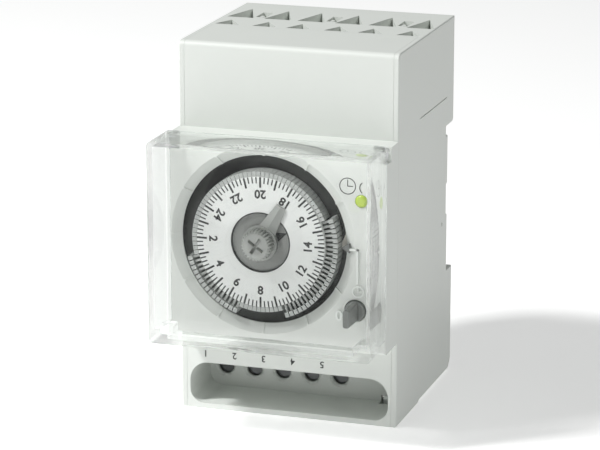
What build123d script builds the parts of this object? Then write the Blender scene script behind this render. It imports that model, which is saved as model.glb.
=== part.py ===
from build123d import *
from math import acos, atan2, cos, pi, radians, sin, tan
import os

# A 24-hour programmable timer for a 35 mm mounting rail, three modules wide.
# X is right, Y is back, Z is up. The origin is the middle of the rail seat, on its plane.

# ---- overall sizes (mm) ----
MODULE_WIDTH = 18.0
MODULES = 3
HEIGHT = 90.0
SHOULDER_DEPTH = 44.0
BLOCK_DEPTH = 53.5
COVER_DEPTH = 67.0
HOOK_DEPTH = 5.0
FOOT_STEP = 0.5
FOOT_LENGTH = 19.5

WIDTH = MODULE_WIDTH * MODULES
HALF = WIDTH / 2
TOP = HEIGHT / 2
BOTTOM = -HEIGHT / 2
FOOT = BOTTOM - FOOT_STEP

# ---- walls and gaps ----
SIDE_WALL = 1.3
WALL = 1.8
PANEL_WALL = 1.6
SEAM = 0.05
EDGE_ROUND = 1.4
EDGE_BREAK = 0.35
CUT = 1.0

# ---- rail seat ----
RAIL_HEIGHT = 35.0
RAIL_THICK = 1.0
RAIL_GAP = 0.15
RAIL_PLAY = 1.0
LIP_OVERLAP = 1.3
LIP_HALF_WIDTH = 12.0
LIP_SHADOW = 0.1
NOTCH_DEPTH = 1.6
SEAT_DIP = 0.8
HOOK_ROUND = 1.2
GAP_TOP = RAIL_HEIGHT / 2 + RAIL_PLAY
GAP_BOTTOM = -GAP_TOP
LIP_LOW = RAIL_HEIGHT / 2 - LIP_OVERLAP

# ---- middle block ----
BLOCK_TOP = 24.4
BLOCK_BOTTOM = -24.6

# ---- dial ----
DIAL_X = -3.2
DIAL_Z = 0.5
PLATE_R = 15.75
HEAD_GAP = 0.05
HEAD_LONG = 1.15
SEGMENT_TRAVEL = 1.9
TIP_GAP = 1.45
BEZEL_WIDTH = 2.3
HEAD_IN = PLATE_R + HEAD_GAP
HEAD_OUT = HEAD_IN + HEAD_LONG
SEGMENT_TIP = HEAD_OUT + SEGMENT_TRAVEL
BEZEL_INNER_R = SEGMENT_TIP + TIP_GAP
BEZEL_OUTER_R = BEZEL_INNER_R + BEZEL_WIDTH
BEZEL_DEPTH = 1.4
BEZEL_RIBS = 12
SEGMENTS = 96
SEGMENT_PITCH = 360 / SEGMENTS
PLATE_PROUD = 1.4
PLATE_THICK = 1.0
HUB_R = 7.1
HUB_SUNK = 0.5
RING_GAP = 0.2
SKIRT_OVER = 0.6
SKIRT_R = BEZEL_INNER_R + SKIRT_OVER
ON_RANGES = [(195.0, 251.25), (288.75, 382.5)]

# ---- gear train ----
GEAR_MODULE = 0.4
DIAL_TEETH = 60
MOTION_PINION_TEETH = 10
MOTION_TEETH = 56
MINUTE_PINION_TEETH = 14
MINUTE_TEETH = 60
MOTOR_TEETH = 10
ARBOR_R = 1.5
RUN_GAP = 0.05

# ---- terminals ----
TERMINALS = 5
TERMINAL_PITCH = 7.35
WIRE_HOLE_R = 2.1

# ---- planes along the depth, counted back from the front ----
CHASSIS_THICK = 1.5
BOARD_THICK = 1.6
POCKET_DEPTH = 14.5
PANEL_Y = -BLOCK_DEPTH
PANEL_BACK = PANEL_Y + PANEL_WALL
SHOULDER_Y = -SHOULDER_DEPTH
CHASSIS_Y = SHOULDER_Y + 2.0
CHASSIS_FRONT = CHASSIS_Y - CHASSIS_THICK
BOARD_Y = CHASSIS_Y + 8.0
BOARD_FRONT = BOARD_Y - BOARD_THICK
POCKET_BACK = SHOULDER_Y + POCKET_DEPTH
WIRE_Y = POCKET_BACK + 10.5

# ---- the terminal recess and its row of terminals ----
POCKET_HALF = HALF - 2.1
POCKET_TOP = FOOT + 11.6
POCKET_FLOOR = FOOT + 1.3
POCKET_WALL = 1.2
POCKET_ROUND_TOP = 4.6
POCKET_ROUND_LOW = 3.4
TERMINAL_Z = FOOT + 6.2
TERMINAL_ROW = [4.0 - POCKET_HALF + i * TERMINAL_PITCH for i in range(TERMINALS)]

os.makedirs("parts", exist_ok=True)


def facing(y, x=0.0, z=0.0):
    """A plane square to the depth, seen from the front: local x is X, local y is Z, out is -Y."""
    return Plane(origin=(x, y, z), x_dir=(1, 0, 0), z_dir=(0, -1, 0))


def save(part, name):
    """Label a finished piece and write it as its own STEP."""
    part.label = name
    export_step(part, f"parts/{name}.step")


def slab(x, y, z, mode=Mode.ADD):
    """A box given by its low and high limits along each axis, for use inside a BuildPart."""
    size = [high - low for low, high in (x, y, z)]
    middle = [(high + low) / 2 for low, high in (x, y, z)]
    with Locations(tuple(middle)):
        Box(*size, mode=mode)


def rod(radius, front, back, x=0.0, z=0.0, mode=Mode.ADD):
    """A round disc or rod along the depth, between its front and back faces."""
    with BuildSketch(facing(back, x, z)) as round_face:
        Circle(radius)
    extrude(round_face.sketch, amount=back - front, mode=mode)


# ---------------------------------------------------------------- base housing
FUNNEL_FLOOR = 7.0
FUNNEL_BLOCK_Y = -23.5
REAR_WALL = 2.0
FLOOR_WALL = 1.5
LATCH_HALF = 8.0
LATCH_EAR = 1.5
LATCH_GAP = 0.15
LATCH_FRONT = RAIL_THICK + 0.2
LATCH_BACK = HOOK_DEPTH - 0.4
LATCH_TRAVEL = 4.0
LATCH_TOP = -(LIP_LOW - 0.2)
EAR_TOP = GAP_BOTTOM - 2.0
WINDOW_TOP = GAP_BOTTOM - 5.5
POST_HALF = 1.8
POST_TOP = WINDOW_TOP - 9.9
POST_TALL = 2.1
GUIDE_THICK = 1.5
SIDE_RECESS = 1.3
RECESS_HALF = 4.0
GROOVE_Z = 25.8
GROOVE_HALF = 0.15
GROOVE_DEPTH = 0.25
GROOVE_Y = (-25.5, -1.5)
DOT_Y = -4.7
DOT_Z = -5.5
DOT_R = 0.5
BACK_SLANT = 2.0

seat_top = LIP_LOW - LIP_SHADOW
seat_low = LATCH_TOP + LIP_SHADOW
rail_top = [(HOOK_DEPTH, GAP_TOP), (-NOTCH_DEPTH, GAP_TOP), (-NOTCH_DEPTH, seat_top), (0, seat_top)]
foot_y = SHOULDER_Y + FOOT_LENGTH
room_top = TOP - WALL - FUNNEL_FLOOR

with BuildPart() as base:
    with BuildSketch(Plane.YZ):
        with BuildLine():
            Polyline(
                (SHOULDER_Y, TOP), (HOOK_DEPTH, TOP), *rail_top, (0, GAP_BOTTOM),
                (HOOK_DEPTH, GAP_BOTTOM), (HOOK_DEPTH, BOTTOM + BACK_SLANT),
                (HOOK_DEPTH - BACK_SLANT, BOTTOM),
                (foot_y + FOOT_STEP, BOTTOM), (foot_y, FOOT), (SHOULDER_Y, FOOT), close=True)
        make_face()
    extrude(amount=HALF, both=True)
    front_top = base.edges().filter_by(Axis.X).group_by(Axis.Z)[-1].sort_by(Axis.Y)[0]
    fillet(front_top, EDGE_ROUND)
    hook_edges = base.edges().filter_by(Axis.X).filter_by_position(Axis.Y, HOOK_DEPTH - 0.1, HOOK_DEPTH + 0.1)
    fillet(hook_edges.filter_by_position(Axis.Z, GAP_TOP - 0.1, GAP_TOP + 0.1), HOOK_ROUND)
    fillet(base.faces().filter_by(Axis.X).edges(), EDGE_BREAK)
    # room for the mechanism, open at the front between the two side walls
    inner = HALF - SIDE_WALL
    slab((-inner, inner), (SHOULDER_Y - CUT, -REAR_WALL), (BOTTOM + FLOOR_WALL, room_top), mode=Mode.SUBTRACT)
    slab((-inner, inner), (SHOULDER_Y - CUT, FUNNEL_BLOCK_Y), (BOTTOM, TOP + CUT), mode=Mode.SUBTRACT)
    slab((-inner, inner), (SHOULDER_Y - CUT, POCKET_BACK + POCKET_WALL + 0.2), (FOOT - CUT, 0),
         mode=Mode.SUBTRACT)
    # upper back chamber behind the rail seat
    slab((-inner, inner), (-REAR_WALL - CUT, HOOK_DEPTH - REAR_WALL), (GAP_TOP + REAR_WALL, room_top),
         mode=Mode.SUBTRACT)
    # retaining lip behind the rail's upper edge
    slab((-LIP_HALF_WIDTH, LIP_HALF_WIDTH), (RAIL_THICK + RAIL_GAP, HOOK_DEPTH), (LIP_LOW, GAP_TOP))
    # guide channel for the latch, with a groove for its ears and a dip in the seat under its lip
    channel = LATCH_HALF + LATCH_GAP
    slab((-channel, channel), (LATCH_FRONT - LATCH_GAP, HOOK_DEPTH + CUT), (BOTTOM - CUT, GAP_BOTTOM + CUT),
         mode=Mode.SUBTRACT)
    ear_x = LATCH_HALF + LATCH_EAR + LATCH_GAP
    slab((-ear_x, ear_x), (LATCH_FRONT - LATCH_GAP, LATCH_FRONT + GUIDE_THICK + LATCH_GAP),
         (BOTTOM - CUT, EAR_TOP), mode=Mode.SUBTRACT)
    slab((-channel, channel), (-SEAT_DIP, CUT), (GAP_BOTTOM, seat_low), mode=Mode.SUBTRACT)
    slab((-POST_HALF, POST_HALF), (0, LATCH_BACK), (POST_TOP - POST_TALL, POST_TOP))
    # side recesses beside the rail's middle, a guide groove and a dot on each side wall
    for side in (-1, 1):
        outer = sorted((side * (HALF - SIDE_WALL), side * (HALF + CUT)))
        slab(outer, (-SIDE_RECESS, CUT), (-RECESS_HALF, RECESS_HALF), mode=Mode.SUBTRACT)
        skin = sorted((side * (HALF - GROOVE_DEPTH), side * (HALF + CUT)))
        slab(skin, GROOVE_Y, (GROOVE_Z - GROOVE_HALF, GROOVE_Z + GROOVE_HALF), mode=Mode.SUBTRACT)
        with Locations(Location((side * HALF, DOT_Y, DOT_Z), (0, 90, 0))):
            Cylinder(DOT_R, 2 * GROOVE_DEPTH, mode=Mode.SUBTRACT)
    # wire holes through the floor, one under each clamp
    with BuildSketch(Plane.XY.offset(BOTTOM - CUT)):
        with Locations(*[(x, WIRE_Y) for x in TERMINAL_ROW]):
            Circle(WIRE_HOLE_R)
    extrude(amount=FLOOR_WALL + 2 * CUT, mode=Mode.SUBTRACT)

# two rows of triangular funnels in the top, point to the back
FUNNEL_DEPTH = 6.0
FUNNEL_OFFSETS = (4.9, 14.4)
REAR_ROW_Y = -13.4
REAR_ROW_LENGTH = 10.8
REAR_ROW_WIDTH = 7.0
FRONT_ROW_Y = -22.6
FRONT_ROW_LENGTH = 5.6
FRONT_ROW_WIDTH = 6.2
REAR_LEAN = 0.6
FRONT_LEAN = 0.7
FRONT_SHIFT = 0.3
SCOOP_X = 9.6
SCOOP_HALF = 1.3
SCOOP_DEPTH = 2.5
SCOOP_Y = (REAR_ROW_Y + 1.5, REAR_ROW_Y + 7.5)
PEG_R = 0.85
PEG_TALL = 3.0


def funnel(middle, front, length, width, lean):
    """One triangular funnel of the open sketch, its point to the back and leaning to the left."""
    with BuildLine() as outline:
        Polyline((middle - width / 2, front), (middle + width / 2, front), (middle - lean, front + length),
                 close=True)
    make_face(outline.edges())


with BuildPart() as funnels:
    with BuildSketch(Plane.XY.offset(TOP - FUNNEL_DEPTH)):
        for module in range(MODULES):
            for offset in FUNNEL_OFFSETS:
                middle = module * MODULE_WIDTH - HALF + offset
                funnel(middle, REAR_ROW_Y, REAR_ROW_LENGTH, REAR_ROW_WIDTH, REAR_LEAN)
                funnel(middle - FRONT_SHIFT, FRONT_ROW_Y, FRONT_ROW_LENGTH, FRONT_ROW_WIDTH, FRONT_LEAN)
    extrude(amount=FUNNEL_DEPTH + CUT)

with BuildPart() as base_housing:
    add(base)
    add(funnels, mode=Mode.SUBTRACT)
    # a shallow scoop with a round peg between the two big funnels of each module
    for module in range(MODULES):
        middle = module * MODULE_WIDTH - HALF + SCOOP_X
        slab((middle - SCOOP_HALF, middle + SCOOP_HALF), SCOOP_Y, (TOP - SCOOP_DEPTH, TOP + CUT),
             mode=Mode.SUBTRACT)
        with Locations((middle + PEG_R / 2 - SCOOP_HALF, sum(SCOOP_Y) / 2, TOP - 0.4 - PEG_TALL / 2)):
            Cylinder(PEG_R, PEG_TALL)
save(base_housing.part, "base_housing")

# ---------------------------------------------------------------- front hood
SCREW_HOLE_R = 2.0
SINK_R = 2.5
HINGE_PIN_R = 0.7
LUG_R = 1.5
HINGE_Y = PANEL_Y + LUG_R
HINGE_Z = BLOCK_TOP - 1.2
LUG_IN = HALF - 3.0
LUG_OUT = HALF - 0.3
LUG_GAP = 0.2
CHEEK_LONG = 2.6
SELECTOR_X = HALF - 7.4
SELECTOR_Z = -14.4
SELECTOR_R = 2.45
SELECTOR_GAP = 0.25
LED_X = HALF - 6.1
LED_Z = 12.0
LED_R = 1.5
BOSS_R_OUT = 2.2
SCREW_R = 1.0
BLOCK_WALL = 1.3
BLOCK_ROUND = 0.5
BAR_WIDTH = 0.45
BAR_PROUD = 0.25
HOOK_X = HALF - 6.3
HOOK_HALF = 0.7
HOOK_WINDOW = 1.7
hood_half = HALF - SIDE_WALL - SEAM
boss_x = hood_half - 2.75
boss_z = (BLOCK_TOP - BLOCK_BOTTOM) / 2 - 3.9
bosses = [(x, z) for x in (-boss_x, boss_x) for z in (-boss_z, boss_z)]

with BuildPart() as hood:
    with BuildSketch(Plane.YZ):
        with BuildLine():
            Polyline((SHOULDER_Y, TOP), (FUNNEL_BLOCK_Y - SEAM, TOP), (FUNNEL_BLOCK_Y - SEAM, TOP - WALL),
                     (SHOULDER_Y + WALL, TOP - WALL), (SHOULDER_Y + WALL, POCKET_TOP + POCKET_WALL),
                     (POCKET_BACK + POCKET_WALL, POCKET_TOP + POCKET_WALL), (POCKET_BACK + POCKET_WALL, FOOT),
                     (SHOULDER_Y, FOOT), close=True)
        make_face()
    extrude(amount=hood_half, both=True)
    front_top = hood.edges().filter_by(Axis.X).group_by(Axis.Z)[-1].sort_by(Axis.Y)[0]
    fillet(front_top, EDGE_ROUND)
    slab((-HALF, HALF), (PANEL_Y, SHOULDER_Y - SEAM), (BLOCK_BOTTOM, BLOCK_TOP))
    slab((-hood_half, hood_half), (SHOULDER_Y - 1, SHOULDER_Y), (BLOCK_BOTTOM, BLOCK_TOP))
    rim = hood.faces().sort_by(Axis.Y)[0].edges()
    fillet(rim, BLOCK_ROUND)
    # hollow of the middle block
    slab((-hood_half + BLOCK_WALL, hood_half - BLOCK_WALL), (PANEL_BACK, SHOULDER_Y + WALL + CUT),
         (BLOCK_BOTTOM + BLOCK_WALL, BLOCK_TOP - BLOCK_WALL), mode=Mode.SUBTRACT)
    # terminal recess
    with BuildSketch(facing(POCKET_BACK)) as recess:
        with Locations((0, (POCKET_TOP + POCKET_FLOOR) / 2)):
            Rectangle(2 * POCKET_HALF, POCKET_TOP - POCKET_FLOOR)
        fillet(recess.vertices().group_by(Axis.Y)[-1], POCKET_ROUND_TOP)
        fillet(recess.vertices().group_by(Axis.Y)[0], POCKET_ROUND_LOW)
    extrude(amount=SHOULDER_DEPTH, mode=Mode.SUBTRACT)
    with Locations(*[facing(POCKET_BACK, x, TERMINAL_Z).location for x in TERMINAL_ROW]):
        CounterSinkHole(SCREW_HOLE_R, SINK_R, depth=3 * POCKET_WALL)
    # corner window for the snap hook
    slab((HOOK_X - HOOK_WINDOW, HOOK_X + HOOK_WINDOW), (POCKET_BACK - 2.2, POCKET_BACK + POCKET_WALL + CUT),
         (FOOT + 0.5, FOOT + 2.8), mode=Mode.SUBTRACT)
    # cone round the dial opening
    with BuildSketch(facing(PANEL_Y, DIAL_X, DIAL_Z)):
        Circle(BEZEL_OUTER_R)
    with BuildSketch(facing(PANEL_Y + BEZEL_DEPTH, DIAL_X, DIAL_Z)):
        Circle(BEZEL_INNER_R)
    loft(mode=Mode.SUBTRACT)
    rod(BEZEL_INNER_R, PANEL_Y - CUT, PANEL_BACK + CUT, DIAL_X, DIAL_Z, mode=Mode.SUBTRACT)
    # openings for the lamp and the selector, and bosses for the mechanism's screws
    rod(LED_R + RUN_GAP, PANEL_Y - CUT, PANEL_BACK + CUT, LED_X, LED_Z, mode=Mode.SUBTRACT)
    rod(SELECTOR_R + SELECTOR_GAP, PANEL_Y - CUT, PANEL_BACK + CUT, SELECTOR_X, SELECTOR_Z,
        mode=Mode.SUBTRACT)
    for x, z in bosses:
        rod(BOSS_R_OUT, PANEL_BACK, CHASSIS_FRONT, x, z)
        rod(SCREW_R, PANEL_BACK + CUT, CHASSIS_FRONT + CUT, x, z, mode=Mode.SUBTRACT)
    # corner notches for the cover's lugs, with solid cheeks for the hinge pins
    for side in (-1, 1):
        cheek = sorted((side * (LUG_IN - CHEEK_LONG), side * (LUG_IN - LUG_GAP)))
        slab(cheek, (PANEL_Y, HINGE_Y + LUG_R + LUG_GAP), (HINGE_Z - LUG_R - 2 * LUG_GAP, BLOCK_TOP))
        notch = sorted((side * (LUG_IN - LUG_GAP), side * (HALF + CUT)))
        slab(notch, (PANEL_Y - CUT, HINGE_Y + LUG_R + 2 * LUG_GAP),
             (HINGE_Z - LUG_R - 3 * LUG_GAP, BLOCK_TOP + CUT), mode=Mode.SUBTRACT)
        with Locations(Location((side * (LUG_IN - CHEEK_LONG / 2), HINGE_Y, HINGE_Z), (0, 90, 0))):
            Cylinder(HINGE_PIN_R, CHEEK_LONG, mode=Mode.SUBTRACT)

# raised bars that follow the cone, one every two hours; the time marker takes the first one's place
with BuildPart() as bezel_bars:
    slope = atan2(BEZEL_DEPTH, BEZEL_OUTER_R - BEZEL_INNER_R)
    bar_r = (BEZEL_OUTER_R + BEZEL_INNER_R) / 2
    bar_length = (BEZEL_OUTER_R - BEZEL_INNER_R) / cos(slope)
    for i in range(1, BEZEL_RIBS):
        turn = 2 * pi * i / BEZEL_RIBS
        spot = (DIAL_X + bar_r * cos(turn), PANEL_Y + BEZEL_DEPTH / 2, DIAL_Z + bar_r * sin(turn))
        along = (cos(turn) * cos(slope), -sin(slope), sin(turn) * cos(slope))
        out = (-cos(turn) * sin(slope), -cos(slope), -sin(turn) * sin(slope))
        with BuildSketch(Plane(origin=spot, x_dir=along, z_dir=out)):
            Rectangle(bar_length, BAR_WIDTH)
        extrude(amount=BAR_PROUD, both=True)

with BuildPart() as front_hood:
    add(hood)
    with BuildPart(mode=Mode.PRIVATE) as clipped_bars:
        add(bezel_bars)
        slab((-HALF, HALF), (PANEL_Y, PANEL_BACK), (BLOCK_BOTTOM, BLOCK_TOP), mode=Mode.INTERSECT)
    add(clipped_bars)
save(front_hood.part, "front_hood")

with BuildPart() as hood_hook:
    with BuildSketch(Plane.YZ.offset(HOOK_X)):
        with BuildLine():
            Polyline((POCKET_BACK + 2.6, FOOT + 0.9), (POCKET_BACK + 2.6, FOOT + 7),
                     (POCKET_BACK + 1.6, FOOT + 7), (POCKET_BACK + 1.6, FOOT + 1.7),
                     (POCKET_BACK - 0.2, FOOT + 1.7), (POCKET_BACK - 1.0, FOOT + 3.0),
                     (POCKET_BACK - 1.6, FOOT + 2.4), (POCKET_BACK - 0.6, FOOT + 0.9), close=True)
        make_face()
    extrude(amount=HOOK_HALF, both=True)
save(hood_hook.part, "hood_hook")

# ---------------------------------------------------------------- clear cover
COVER_WALL = 1.2
COVER_FRONT_WALL = 1.5
COVER_TOP = BLOCK_TOP + 1.1
COVER_BOTTOM = BLOCK_BOTTOM + 1.7
COVER_GAP = 0.1
COVER_EDGE = 1.0
COVER_CORNER = 0.9
SCOOP_PLACE = -8.0
SCOOP_LONG = 7.5
SCOOP_WIDE = 2.2
SCOOP_TALL = 0.7
CORNER_BLOCK = (3.2, 7.0, 2.2)
RELIEF_Y = 5.0
RELIEF_Z = 2.0
cover_front = -COVER_DEPTH
cover_back = PANEL_Y - COVER_GAP

with BuildPart() as clear_cover:
    slab((-HALF, HALF), (cover_front, cover_back), (COVER_BOTTOM, COVER_TOP))
    fillet(clear_cover.faces().sort_by(Axis.Y)[0].edges(), COVER_EDGE)
    fillet(clear_cover.edges().filter_by(Axis.Y), COVER_CORNER)
    slab((-HALF + COVER_WALL, HALF - COVER_WALL), (cover_front + COVER_FRONT_WALL, cover_back + CUT),
         (COVER_BOTTOM + COVER_WALL, COVER_TOP - COVER_WALL), mode=Mode.SUBTRACT)
    # finger scoop in the lower edge, and a relief behind the lower corners
    with BuildSketch(Plane.XY.offset(COVER_BOTTOM)):
        with Locations((SCOOP_PLACE, cover_front - 0.6)):
            Ellipse(SCOOP_LONG, SCOOP_WIDE)
    extrude(amount=SCOOP_TALL, both=True, mode=Mode.SUBTRACT)
    slab((-HALF - CUT, HALF + CUT), (cover_back - RELIEF_Y, cover_back + CUT),
         (COVER_BOTTOM - CUT, COVER_BOTTOM + RELIEF_Z), mode=Mode.SUBTRACT)
    # thickened lower corners and the two hinge lugs
    block_x, block_y, block_z = CORNER_BLOCK
    for side in (-1, 1):
        corner = sorted((side * (HALF - COVER_WALL - block_x), side * (HALF - COVER_WALL)))
        slab(corner, (cover_front + COVER_FRONT_WALL, cover_front + COVER_FRONT_WALL + block_y),
             (COVER_BOTTOM + COVER_WALL, COVER_BOTTOM + COVER_WALL + block_z))
        lug = sorted((side * LUG_IN, side * LUG_OUT))
        slab(lug, (cover_back - 1.5, HINGE_Y), (HINGE_Z, HINGE_Z + LUG_R))
        slab(lug, (cover_back - 1.5, cover_back), (HINGE_Z - LUG_R, COVER_TOP - COVER_WALL))
        with Locations(Location((side * (LUG_IN + LUG_OUT) / 2, HINGE_Y, HINGE_Z), (0, 90, 0))):
            Cylinder(LUG_R, LUG_OUT - LUG_IN)
            Cylinder(HINGE_PIN_R + RUN_GAP, LUG_OUT - LUG_IN, mode=Mode.SUBTRACT)
save(clear_cover.part, "clear_cover")

with BuildPart() as cover_hinge_pins:
    for side in (-1, 1):
        with Locations(Location((side * (LUG_IN - CHEEK_LONG + LUG_OUT) / 2, HINGE_Y, HINGE_Z), (0, 90, 0))):
            Cylinder(HINGE_PIN_R, LUG_OUT - LUG_IN + CHEEK_LONG)
save(cover_hinge_pins.part, "cover_hinge_pins")

# ---------------------------------------------------------------- rail latch
WINDOW_HALF = 2.4
LATCH_END = FOOT + 2.2
LATCH_LEAD = 1.0
PRY_SLOT_HALF = 3.0
PRY_SLOT_Z = (LATCH_END + 1.2, LATCH_END + 2.6)
window_low = POST_TOP - POST_TALL - 0.4

with BuildPart() as rail_latch:
    slab((-LATCH_HALF, LATCH_HALF), (LATCH_FRONT, LATCH_BACK), (LATCH_END, LATCH_TOP))
    ear = LATCH_HALF + LATCH_EAR - LATCH_GAP
    slab((-ear, ear), (LATCH_FRONT, LATCH_FRONT + GUIDE_THICK), (LATCH_END + 2, EAR_TOP - LATCH_GAP))
    lip_edge = rail_latch.edges().filter_by(Axis.X).group_by(Axis.Z)[-1].sort_by(Axis.Y)[-1]
    chamfer(lip_edge, LATCH_LEAD)
    slab((-WINDOW_HALF, WINDOW_HALF), (0, HOOK_DEPTH), (window_low, WINDOW_TOP), mode=Mode.SUBTRACT)
    slab((-PRY_SLOT_HALF, PRY_SLOT_HALF), (0, HOOK_DEPTH), PRY_SLOT_Z, mode=Mode.SUBTRACT)
save(rail_latch.part, "rail_latch")

COIL_R = 1.5
COIL_WIRE_R = 0.22
COIL_PITCH = 1.3

with BuildPart() as latch_spring:
    with BuildLine() as coil_path:
        Helix(pitch=COIL_PITCH, height=WINDOW_TOP - POST_TOP - 2 * COIL_WIRE_R, radius=COIL_R,
              center=(0, (LATCH_FRONT + LATCH_BACK) / 2, POST_TOP + COIL_WIRE_R))
    with BuildSketch(Plane(origin=coil_path.line @ 0, z_dir=coil_path.line % 0)):
        Circle(COIL_WIRE_R)
    sweep(path=coil_path.line, is_frenet=True)
save(latch_spring.part, "latch_spring")

# ---------------------------------------------------------------- dial
PLATE_FRONT = PANEL_Y - PLATE_PROUD
PLATE_BACK = PLATE_FRONT + PLATE_THICK
PLATE_EDGE = 0.2
STEM_IN = HEAD_IN - 3.2
STEM_TALL = 1.0
SLOT_IN = STEM_IN - 0.5
SLOT_HALF = 0.86 * SLOT_IN * tan(radians(SEGMENT_PITCH / 2))
SLOT_GAP = 0.06
SLOT_DEPTH = 1.3
HEAD_SUNK = 0.2
HEAD_TALL = 4.1
HEAD_FRONT = PLATE_FRONT + HEAD_SUNK
HEAD_BACK = HEAD_FRONT + HEAD_TALL
HEAD_GAP_ANGLE = 0.22
SKIRT_THICK = 0.6
SKIRT_FRONT = HEAD_BACK + HEAD_SUNK
SKIRT_BACK = SKIRT_FRONT + SKIRT_THICK
WHEEL_THICK = 1.5
WHEEL_BOSS_R = 4.0
DIAL_WHEEL_FRONT = SKIRT_BACK + 0.3
DIAL_WHEEL_BACK = DIAL_WHEEL_FRONT + WHEEL_THICK
JOINTED_SEGMENTS = 8


def half_width(radius):
    """Half the width of a segment's head at a radius, a little under half the pitch."""
    return radius * tan(radians(SEGMENT_PITCH / 2 - HEAD_GAP_ANGLE))


def is_on(number):
    """Whether a segment is pushed out at rest."""
    angle = (number + 0.5) * SEGMENT_PITCH
    return any(low < angle + turn < high for low, high in ON_RANGES for turn in (0, 360))


def segment(number):
    """One captive segment at its place: a wedge head outside the dial plate, a stem in its slot."""
    shift = SEGMENT_TRAVEL if is_on(number) else 0.0
    stem_half = SLOT_HALF - SLOT_GAP
    stem_front = PLATE_BACK + STEM_TALL / 5
    with BuildPart() as piece:
        with BuildSketch(facing(HEAD_BACK)):
            with BuildLine():
                Polyline((HEAD_IN, -half_width(HEAD_IN)), (HEAD_OUT, -half_width(HEAD_OUT)),
                         (HEAD_OUT, half_width(HEAD_OUT)), (HEAD_IN, half_width(HEAD_IN)), close=True)
            make_face()
        extrude(amount=HEAD_BACK - HEAD_FRONT)
        slab((STEM_IN, HEAD_IN + 0.2), (stem_front, stem_front + STEM_TALL), (-stem_half, stem_half))
    turned = Location((0, 0, 0), (0, 0, (number + 0.5) * SEGMENT_PITCH)) * Location((shift, 0, 0))
    return facing(0, DIAL_X, DIAL_Z).location * turned * facing(0).location.inverse() * piece.part


# the segments on both sides of each switching edge move on their own: they shift a switching time
edges_on = sorted({i for i in range(SEGMENTS) if is_on(i) != is_on((i + 1) % SEGMENTS)})
own = [n for i in edges_on for n in (i, (i + 1) % SEGMENTS)][:JOINTED_SEGMENTS]
for count, number in enumerate(own):
    save(segment(number), f"segment_{count + 1}")
rest = [n for n in range(SEGMENTS) if n not in own]
save(Compound([segment(n) for n in rest if is_on(n)]), "segments_on")
save(Compound([segment(n) for n in rest if not is_on(n)]), "segments_off")
print("segments with their own slide:", own, [is_on(n) for n in own])

with BuildPart() as dial_plate:
    rod(PLATE_R, PLATE_FRONT, PLATE_BACK, DIAL_X, DIAL_Z)
    fillet(dial_plate.edges().group_by(Axis.Y)[0], PLATE_EDGE)
    rod(HUB_R + RING_GAP, PLATE_FRONT - CUT, PLATE_BACK + CUT, DIAL_X, DIAL_Z, mode=Mode.SUBTRACT)
save(dial_plate.part, "dial_plate")

with BuildPart() as hub_disc:
    rod(HUB_R, PLATE_FRONT + HUB_SUNK, PLATE_BACK, DIAL_X, DIAL_Z)
    rod(ARBOR_R + RUN_GAP, PLATE_FRONT - CUT, PLATE_BACK + CUT, DIAL_X, DIAL_Z, mode=Mode.SUBTRACT)
save(hub_disc.part, "hub_disc")

with BuildPart() as segment_carrier:
    rod(HEAD_IN - 0.2, PLATE_BACK, SKIRT_BACK, DIAL_X, DIAL_Z)
    rod(SKIRT_R, SKIRT_FRONT, SKIRT_BACK, DIAL_X, DIAL_Z)
    rod(ARBOR_R + RUN_GAP, PLATE_BACK - CUT, SKIRT_BACK + CUT, DIAL_X, DIAL_Z, mode=Mode.SUBTRACT)
    with BuildSketch(facing(PLATE_BACK + SLOT_DEPTH, DIAL_X, DIAL_Z)):
        with PolarLocations((SLOT_IN + HEAD_IN) / 2, SEGMENTS, start_angle=SEGMENT_PITCH / 2):
            Rectangle(HEAD_IN - SLOT_IN, 2 * SLOT_HALF)
    extrude(amount=SLOT_DEPTH + CUT, mode=Mode.SUBTRACT)
save(segment_carrier.part, "segment_carrier")


# ---------------------------------------------------------------- gears
ADDENDUM = 0.85
DEDENDUM = 1.15
BACKLASH = 0.05


def flank_half_angle(teeth, radius):
    """Half a tooth's angle at a radius, from the involute of a 20 degree pressure angle."""
    pitch_r = GEAR_MODULE * teeth / 2
    base_r = pitch_r * cos(radians(20))
    roll = acos(min(1.0, base_r / max(radius, base_r)))
    involute = tan(roll) - roll
    standard = tan(radians(20)) - radians(20)
    return pi / (2 * teeth) - BACKLASH / (2 * pitch_r) + standard - involute


def gear_outline(teeth, first_tooth):
    """The corner points of a gear, with one tooth centred at first_tooth degrees."""
    pitch_r = GEAR_MODULE * teeth / 2
    radii = [pitch_r - DEDENDUM * GEAR_MODULE, pitch_r - 0.4 * GEAR_MODULE, pitch_r,
             pitch_r + ADDENDUM * GEAR_MODULE]
    thin_root = 0.75 if teeth < 20 else 1.0
    points = []
    for tooth in range(teeth):
        middle = radians(first_tooth) + 2 * pi * tooth / teeth
        halves = [flank_half_angle(teeth, r) for r in radii]
        halves[0] *= thin_root
        rising = [(r, middle - half) for r, half in zip(radii, halves)]
        falling = [(r, middle + half) for r, half in zip(reversed(radii), reversed(halves))]
        points += [(r * cos(a), r * sin(a)) for r, a in rising + falling]
    return points


def gear(teeth, front, back, x, z, first_tooth):
    """A toothed wheel along the depth, added to the open part."""
    with BuildSketch(facing(back, x, z)) as toothed_face:
        with BuildLine():
            Polyline(*gear_outline(teeth, first_tooth), close=True)
        make_face()
    extrude(toothed_face.sketch, amount=back - front)


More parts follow.
